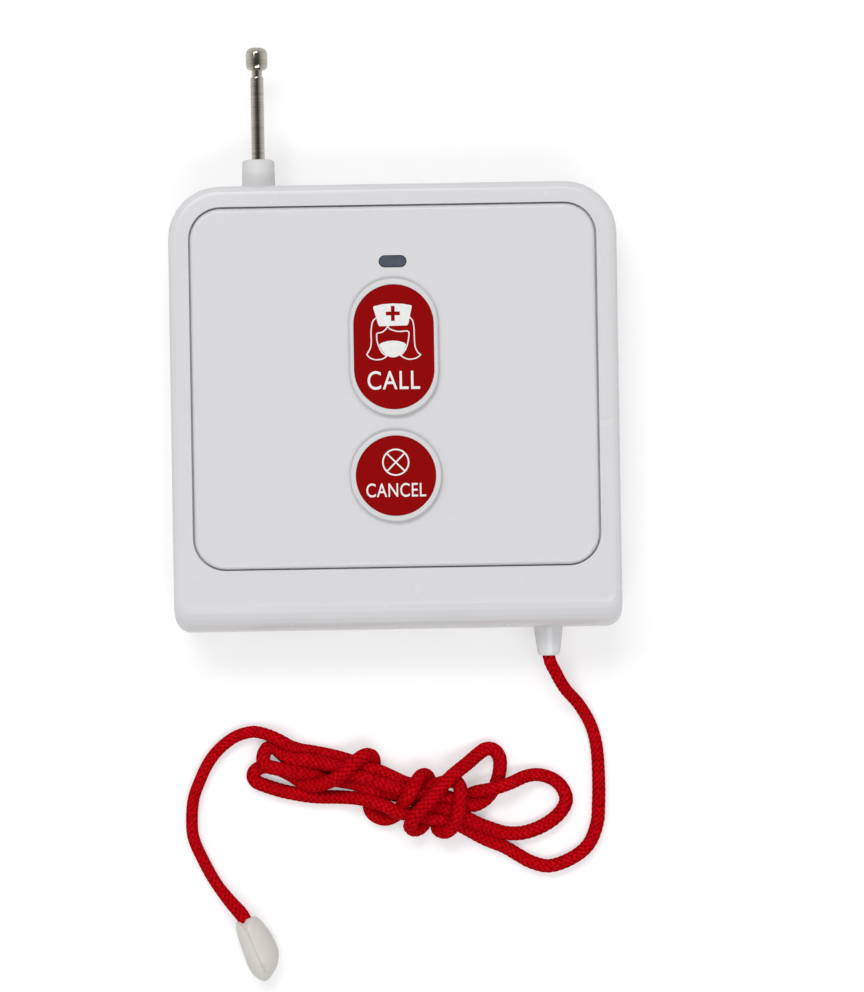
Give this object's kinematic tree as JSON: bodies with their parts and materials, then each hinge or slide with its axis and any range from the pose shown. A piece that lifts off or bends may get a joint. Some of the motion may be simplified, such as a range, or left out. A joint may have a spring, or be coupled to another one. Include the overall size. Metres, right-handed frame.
{
  "type": "bed call button",
  "caption": "Square wireless call unit with call and cancel keys, telescopic aerial and a braided pull cord with a moulded cord end.",
  "frame": {"origin": "middle of the flat back face, which goes to the wall and on which the unit lies here", "axes": "+Z out of the front panel, +Y towards the aerial, +X to the right seen from the front"},
  "size_m": [0.086, 0.1822, 0.0214],
  "materials": {
    "white_shell": "fine satin white moulding",
    "white_panel": "smooth white panel",
    "white_cap": "smooth white key",
    "red_print": "deep red printed film",
    "smoked_lens": "smoked blue-grey light pipe",
    "white_inner": "plain inner moulding",
    "board_green": "solder resist over glass laminate",
    "black_plastic": "black moulded component",
    "grey_collar": "matte light grey collar",
    "nickel": "bright nickel plate",
    "steel": "plated steel",
    "brass_parts": "bare brass",
    "battery_wrap": "plain shrink sleeve",
    "red_cord": "braided red cord",
    "cream_end": "warm ivory moulding"
  },
  "bodies": {
    "unit": {"front_housing": "white_shell", "back_cover": "white_shell", "front_panel": "white_panel", "indicator_lens": "smoked_lens", "indicator_lamp": "white_inner", "circuit_board": "board_green", "call_switch_body": "black_plastic", "cancel_switch_body": "black_plastic", "controller_chip": "black_plastic", "radio_module": "steel", "crystal": "steel", "storage_capacitor": "black_plastic", "aerial_bush": "grey_collar", "aerial_nut": "steel", "aerial_base_tube": "brass_parts", "aerial_contact_clip": "brass_parts", "battery": "battery_wrap", "battery_spring_contact": "steel", "battery_plate_contact": "steel", "cord_gland": "white_shell", "pull_spring": "steel", "pull_switch_body": "black_plastic", "housing_screw_1": "steel", "housing_screw_2": "steel", "housing_screw_3": "steel", "housing_screw_4": "steel", "board_screw_1": "steel", "board_screw_2": "steel", "board_screw_3": "steel", "board_screw_4": "steel"},
    "call_key": {"call_button": "white_cap", "call_label": "red_print", "call_switch_plunger": "black_plastic"},
    "cancel_key": {"cancel_button": "white_cap", "cancel_label": "red_print", "cancel_switch_plunger": "black_plastic"},
    "aerial_middle": {"aerial_middle_tube": "nickel"},
    "aerial_tip": {"aerial_tip_rod": "nickel", "aerial_cap": "nickel"},
    "pull_line": {"pull_slider": "white_inner", "pull_switch_plunger": "black_plastic", "cord_ferrule": "steel", "pull_cord_upper": "red_cord", "pull_cord_hank": "red_cord", "pull_cord_lower": "red_cord", "toggle_shell_left": "cream_end", "toggle_shell_right": "cream_end"},
    "door": {"battery_door": "white_shell"}
  },
  "joints": [
    {"name": "call_press", "type": "slide", "parent": "unit", "child": "call_key", "axis": [0, 0, -1], "range_m": [0, 0.0004], "stiffness_N_per_m": 2500, "springref_m": -0.0004},
    {"name": "cancel_press", "type": "slide", "parent": "unit", "child": "cancel_key", "axis": [0, 0, -1], "range_m": [0, 0.0004], "stiffness_N_per_m": 2500, "springref_m": -0.0004},
    {"name": "aerial_middle_slide", "type": "slide", "parent": "unit", "child": "aerial_middle", "axis": [0, 1, 0], "range_m": [-0.0159, 0.03]},
    {"name": "aerial_tip_slide", "type": "slide", "parent": "aerial_middle", "child": "aerial_tip", "axis": [0, 1, 0], "range_m": [0, 0.045]},
    {"name": "cord_pull", "type": "slide", "parent": "unit", "child": "pull_line", "axis": [0, -1, 0], "range_m": [0, 0.002], "stiffness_N_per_m": 600, "springref_m": -0.002, "deforming": ["pull_spring"]},
    {"name": "battery_door_slide", "type": "slide", "parent": "unit", "child": "door", "axis": [0, -1, 0], "range_m": [0, 0.016]}
  ]
}
